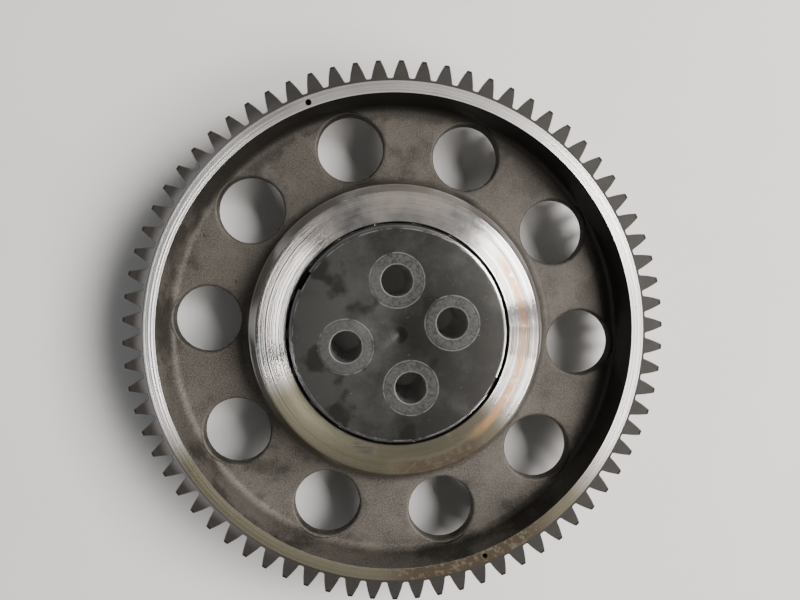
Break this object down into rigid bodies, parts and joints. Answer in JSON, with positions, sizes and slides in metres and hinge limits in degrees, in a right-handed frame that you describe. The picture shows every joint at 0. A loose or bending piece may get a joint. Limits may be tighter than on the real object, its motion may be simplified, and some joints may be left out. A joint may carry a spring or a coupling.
{
  "type": "idler gear with bearing",
  "caption": "Spur idler gear with a recessed web and round lightening holes, turning on a double-row roller bearing round a bolted journal.",
  "frame": {"origin": "centre of the rear mounting face of the journal, on the gear's axis", "axes": "+Z along the gear's axis towards the front disc; +X to the right and +Y up as the front is looked at"},
  "size_m": [0.3052, 0.3052, 0.0665],
  "materials": {
    "gear_steel": "forged and shot-blasted brown-grey web and tooth faces, bright turned rim and hub faces",
    "dark_steel": "dark phosphated steel with rubbed bolt seats",
    "bearing_steel": "ground bearing steel",
    "cage_steel": "machined steel with a thin oil film"
  },
  "bodies": {
    "journal": {"journal_front": "dark_steel", "journal_rear": "dark_steel", "inner_ring_front": "bearing_steel", "inner_ring_rear": "bearing_steel"},
    "gear": {"gear_wheel": "gear_steel"},
    "cage_front": {"cage_front": "cage_steel"},
    "cage_rear": {"cage_rear": "cage_steel"},
    "roller_front_01": {"roller_front_01": "bearing_steel"},
    "roller_front_02": {"roller_front_02": "bearing_steel"},
    "roller_front_03": {"roller_front_03": "bearing_steel"},
    "roller_front_04": {"roller_front_04": "bearing_steel"},
    "roller_front_05": {"roller_front_05": "bearing_steel"},
    "roller_front_06": {"roller_front_06": "bearing_steel"},
    "roller_front_07": {"roller_front_07": "bearing_steel"},
    "roller_front_08": {"roller_front_08": "bearing_steel"},
    "roller_front_09": {"roller_front_09": "bearing_steel"},
    "roller_front_10": {"roller_front_10": "bearing_steel"},
    "roller_front_11": {"roller_front_11": "bearing_steel"},
    "roller_front_12": {"roller_front_12": "bearing_steel"},
    "roller_front_13": {"roller_front_13": "bearing_steel"},
    "roller_front_14": {"roller_front_14": "bearing_steel"},
    "roller_front_15": {"roller_front_15": "bearing_steel"},
    "roller_front_16": {"roller_front_16": "bearing_steel"},
    "roller_front_17": {"roller_front_17": "bearing_steel"},
    "roller_front_18": {"roller_front_18": "bearing_steel"},
    "roller_rear_01": {"roller_rear_01": "bearing_steel"},
    "roller_rear_02": {"roller_rear_02": "bearing_steel"},
    "roller_rear_03": {"roller_rear_03": "bearing_steel"},
    "roller_rear_04": {"roller_rear_04": "bearing_steel"},
    "roller_rear_05": {"roller_rear_05": "bearing_steel"},
    "roller_rear_06": {"roller_rear_06": "bearing_steel"},
    "roller_rear_07": {"roller_rear_07": "bearing_steel"},
    "roller_rear_08": {"roller_rear_08": "bearing_steel"},
    "roller_rear_09": {"roller_rear_09": "bearing_steel"},
    "roller_rear_10": {"roller_rear_10": "bearing_steel"},
    "roller_rear_11": {"roller_rear_11": "bearing_steel"},
    "roller_rear_12": {"roller_rear_12": "bearing_steel"},
    "roller_rear_13": {"roller_rear_13": "bearing_steel"},
    "roller_rear_14": {"roller_rear_14": "bearing_steel"},
    "roller_rear_15": {"roller_rear_15": "bearing_steel"},
    "roller_rear_16": {"roller_rear_16": "bearing_steel"},
    "roller_rear_17": {"roller_rear_17": "bearing_steel"},
    "roller_rear_18": {"roller_rear_18": "bearing_steel"}
  },
  "joints": [
    {"name": "gear_spin", "type": "hinge", "parent": "journal", "child": "gear", "pos_m": [0, 0, 0.0315], "axis": [0, 0, 1], "continuous": true},
    {"name": "cage_front_spin", "type": "hinge", "parent": "journal", "child": "cage_front", "pos_m": [0, 0, 0.04425], "axis": [0, 0, 1], "continuous": true},
    {"name": "cage_rear_spin", "type": "hinge", "parent": "journal", "child": "cage_rear", "pos_m": [0, 0, 0.01875], "axis": [0, 0, 1], "continuous": true},
    {"name": "roller_front_01_spin", "type": "hinge", "parent": "cage_front", "child": "roller_front_01", "pos_m": [0.061, 0, 0.04425], "axis": [0, 0, 1], "continuous": true},
    {"name": "roller_front_02_spin", "type": "hinge", "parent": "cage_front", "child": "roller_front_02", "pos_m": [0.05732, 0.02086, 0.04425], "axis": [0, 0, 1], "continuous": true},
    {"name": "roller_front_03_spin", "type": "hinge", "parent": "cage_front", "child": "roller_front_03", "pos_m": [0.04673, 0.03921, 0.04425], "axis": [0, 0, 1], "continuous": true},
    {"name": "roller_front_04_spin", "type": "hinge", "parent": "cage_front", "child": "roller_front_04", "pos_m": [0.0305, 0.05283, 0.04425], "axis": [0, 0, 1], "continuous": true},
    {"name": "roller_front_05_spin", "type": "hinge", "parent": "cage_front", "child": "roller_front_05", "pos_m": [0.01059, 0.06007, 0.04425], "axis": [0, 0, 1], "continuous": true},
    {"name": "roller_front_06_spin", "type": "hinge", "parent": "cage_front", "child": "roller_front_06", "pos_m": [-0.01059, 0.06007, 0.04425], "axis": [0, 0, 1], "continuous": true},
    {"name": "roller_front_07_spin", "type": "hinge", "parent": "cage_front", "child": "roller_front_07", "pos_m": [-0.0305, 0.05283, 0.04425], "axis": [0, 0, 1], "continuous": true},
    {"name": "roller_front_08_spin", "type": "hinge", "parent": "cage_front", "child": "roller_front_08", "pos_m": [-0.04673, 0.03921, 0.04425], "axis": [0, 0, 1], "continuous": true},
    {"name": "roller_front_09_spin", "type": "hinge", "parent": "cage_front", "child": "roller_front_09", "pos_m": [-0.05732, 0.02086, 0.04425], "axis": [0, 0, 1], "continuous": true},
    {"name": "roller_front_10_spin", "type": "hinge", "parent": "cage_front", "child": "roller_front_10", "pos_m": [-0.061, 0, 0.04425], "axis": [0, 0, 1], "continuous": true},
    {"name": "roller_front_11_spin", "type": "hinge", "parent": "cage_front", "child": "roller_front_11", "pos_m": [-0.05732, -0.02086, 0.04425], "axis": [0, 0, 1], "continuous": true},
    {"name": "roller_front_12_spin", "type": "hinge", "parent": "cage_front", "child": "roller_front_12", "pos_m": [-0.04673, -0.03921, 0.04425], "axis": [0, 0, 1], "continuous": true},
    {"name": "roller_front_13_spin", "type": "hinge", "parent": "cage_front", "child": "roller_front_13", "pos_m": [-0.0305, -0.05283, 0.04425], "axis": [0, 0, 1], "continuous": true},
    {"name": "roller_front_14_spin", "type": "hinge", "parent": "cage_front", "child": "roller_front_14", "pos_m": [-0.01059, -0.06007, 0.04425], "axis": [0, 0, 1], "continuous": true},
    {"name": "roller_front_15_spin", "type": "hinge", "parent": "cage_front", "child": "roller_front_15", "pos_m": [0.01059, -0.06007, 0.04425], "axis": [0, 0, 1], "continuous": true},
    {"name": "roller_front_16_spin", "type": "hinge", "parent": "cage_front", "child": "roller_front_16", "pos_m": [0.0305, -0.05283, 0.04425], "axis": [0, 0, 1], "continuous": true},
    {"name": "roller_front_17_spin", "type": "hinge", "parent": "cage_front", "child": "roller_front_17", "pos_m": [0.04673, -0.03921, 0.04425], "axis": [0, 0, 1], "continuous": true},
    {"name": "roller_front_18_spin", "type": "hinge", "parent": "cage_front", "child": "roller_front_18", "pos_m": [0.05732, -0.02086, 0.04425], "axis": [0, 0, 1], "continuous": true},
    {"name": "roller_rear_01_spin", "type": "hinge", "parent": "cage_rear", "child": "roller_rear_01", "pos_m": [0.061, 0, 0.01875], "axis": [0, 0, 1], "continuous": true},
    {"name": "roller_rear_02_spin", "type": "hinge", "parent": "cage_rear", "child": "roller_rear_02", "pos_m": [0.05732, 0.02086, 0.01875], "axis": [0, 0, 1], "continuous": true},
    {"name": "roller_rear_03_spin", "type": "hinge", "parent": "cage_rear", "child": "roller_rear_03", "pos_m": [0.04673, 0.03921, 0.01875], "axis": [0, 0, 1], "continuous": true},
    {"name": "roller_rear_04_spin", "type": "hinge", "parent": "cage_rear", "child": "roller_rear_04", "pos_m": [0.0305, 0.05283, 0.01875], "axis": [0, 0, 1], "continuous": true},
    {"name": "roller_rear_05_spin", "type": "hinge", "parent": "cage_rear", "child": "roller_rear_05", "pos_m": [0.01059, 0.06007, 0.01875], "axis": [0, 0, 1], "continuous": true},
    {"name": "roller_rear_06_spin", "type": "hinge", "parent": "cage_rear", "child": "roller_rear_06", "pos_m": [-0.01059, 0.06007, 0.01875], "axis": [0, 0, 1], "continuous": true},
    {"name": "roller_rear_07_spin", "type": "hinge", "parent": "cage_rear", "child": "roller_rear_07", "pos_m": [-0.0305, 0.05283, 0.01875], "axis": [0, 0, 1], "continuous": true},
    {"name": "roller_rear_08_spin", "type": "hinge", "parent": "cage_rear", "child": "roller_rear_08", "pos_m": [-0.04673, 0.03921, 0.01875], "axis": [0, 0, 1], "continuous": true},
    {"name": "roller_rear_09_spin", "type": "hinge", "parent": "cage_rear", "child": "roller_rear_09", "pos_m": [-0.05732, 0.02086, 0.01875], "axis": [0, 0, 1], "continuous": true},
    {"name": "roller_rear_10_spin", "type": "hinge", "parent": "cage_rear", "child": "roller_rear_10", "pos_m": [-0.061, 0, 0.01875], "axis": [0, 0, 1], "continuous": true},
    {"name": "roller_rear_11_spin", "type": "hinge", "parent": "cage_rear", "child": "roller_rear_11", "pos_m": [-0.05732, -0.02086, 0.01875], "axis": [0, 0, 1], "continuous": true},
    {"name": "roller_rear_12_spin", "type": "hinge", "parent": "cage_rear", "child": "roller_rear_12", "pos_m": [-0.04673, -0.03921, 0.01875], "axis": [0, 0, 1], "continuous": true},
    {"name": "roller_rear_13_spin", "type": "hinge", "parent": "cage_rear", "child": "roller_rear_13", "pos_m": [-0.0305, -0.05283, 0.01875], "axis": [0, 0, 1], "continuous": true},
    {"name": "roller_rear_14_spin", "type": "hinge", "parent": "cage_rear", "child": "roller_rear_14", "pos_m": [-0.01059, -0.06007, 0.01875], "axis": [0, 0, 1], "continuous": true},
    {"name": "roller_rear_15_spin", "type": "hinge", "parent": "cage_rear", "child": "roller_rear_15", "pos_m": [0.01059, -0.06007, 0.01875], "axis": [0, 0, 1], "continuous": true},
    {"name": "roller_rear_16_spin", "type": "hinge", "parent": "cage_rear", "child": "roller_rear_16", "pos_m": [0.0305, -0.05283, 0.01875], "axis": [0, 0, 1], "continuous": true},
    {"name": "roller_rear_17_spin", "type": "hinge", "parent": "cage_rear", "child": "roller_rear_17", "pos_m": [0.04673, -0.03921, 0.01875], "axis": [0, 0, 1], "continuous": true},
    {"name": "roller_rear_18_spin", "type": "hinge", "parent": "cage_rear", "child": "roller_rear_18", "pos_m": [0.05732, -0.02086, 0.01875], "axis": [0, 0, 1], "continuous": true}
  ],
  "couplings": [
    {"joint": "cage_front_spin", "follows": "gear_spin", "ratio": 0.55738},
    {"joint": "cage_rear_spin", "follows": "gear_spin", "ratio": 0.55738},
    {"joint": "roller_front_01_spin", "follows": "gear_spin", "ratio": 4.2998},
    {"joint": "roller_front_02_spin", "follows": "gear_spin", "ratio": 4.2998},
    {"joint": "roller_front_03_spin", "follows": "gear_spin", "ratio": 4.2998},
    {"joint": "roller_front_04_spin", "follows": "gear_spin", "ratio": 4.2998},
    {"joint": "roller_front_05_spin", "follows": "gear_spin", "ratio": 4.2998},
    {"joint": "roller_front_06_spin", "follows": "gear_spin", "ratio": 4.2998},
    {"joint": "roller_front_07_spin", "follows": "gear_spin", "ratio": 4.2998},
    {"joint": "roller_front_08_spin", "follows": "gear_spin", "ratio": 4.2998},
    {"joint": "roller_front_09_spin", "follows": "gear_spin", "ratio": 4.2998},
    {"joint": "roller_front_10_spin", "follows": "gear_spin", "ratio": 4.2998},
    {"joint": "roller_front_11_spin", "follows": "gear_spin", "ratio": 4.2998},
    {"joint": "roller_front_12_spin", "follows": "gear_spin", "ratio": 4.2998},
    {"joint": "roller_front_13_spin", "follows": "gear_spin", "ratio": 4.2998},
    {"joint": "roller_front_14_spin", "follows": "gear_spin", "ratio": 4.2998},
    {"joint": "roller_front_15_spin", "follows": "gear_spin", "ratio": 4.2998},
    {"joint": "roller_front_16_spin", "follows": "gear_spin", "ratio": 4.2998},
    {"joint": "roller_front_17_spin", "follows": "gear_spin", "ratio": 4.2998},
    {"joint": "roller_front_18_spin", "follows": "gear_spin", "ratio": 4.2998},
    {"joint": "roller_rear_01_spin", "follows": "gear_spin", "ratio": 4.2998},
    {"joint": "roller_rear_02_spin", "follows": "gear_spin", "ratio": 4.2998},
    {"joint": "roller_rear_03_spin", "follows": "gear_spin", "ratio": 4.2998},
    {"joint": "roller_rear_04_spin", "follows": "gear_spin", "ratio": 4.2998},
    {"joint": "roller_rear_05_spin", "follows": "gear_spin", "ratio": 4.2998},
    {"joint": "roller_rear_06_spin", "follows": "gear_spin", "ratio": 4.2998},
    {"joint": "roller_rear_07_spin", "follows": "gear_spin", "ratio": 4.2998},
    {"joint": "roller_rear_08_spin", "follows": "gear_spin", "ratio": 4.2998},
    {"joint": "roller_rear_09_spin", "follows": "gear_spin", "ratio": 4.2998},
    {"joint": "roller_rear_10_spin", "follows": "gear_spin", "ratio": 4.2998},
    {"joint": "roller_rear_11_spin", "follows": "gear_spin", "ratio": 4.2998},
    {"joint": "roller_rear_12_spin", "follows": "gear_spin", "ratio": 4.2998},
    {"joint": "roller_rear_13_spin", "follows": "gear_spin", "ratio": 4.2998},
    {"joint": "roller_rear_14_spin", "follows": "gear_spin", "ratio": 4.2998},
    {"joint": "roller_rear_15_spin", "follows": "gear_spin", "ratio": 4.2998},
    {"joint": "roller_rear_16_spin", "follows": "gear_spin", "ratio": 4.2998},
    {"joint": "roller_rear_17_spin", "follows": "gear_spin", "ratio": 4.2998},
    {"joint": "roller_rear_18_spin", "follows": "gear_spin", "ratio": 4.2998}
  ]
}
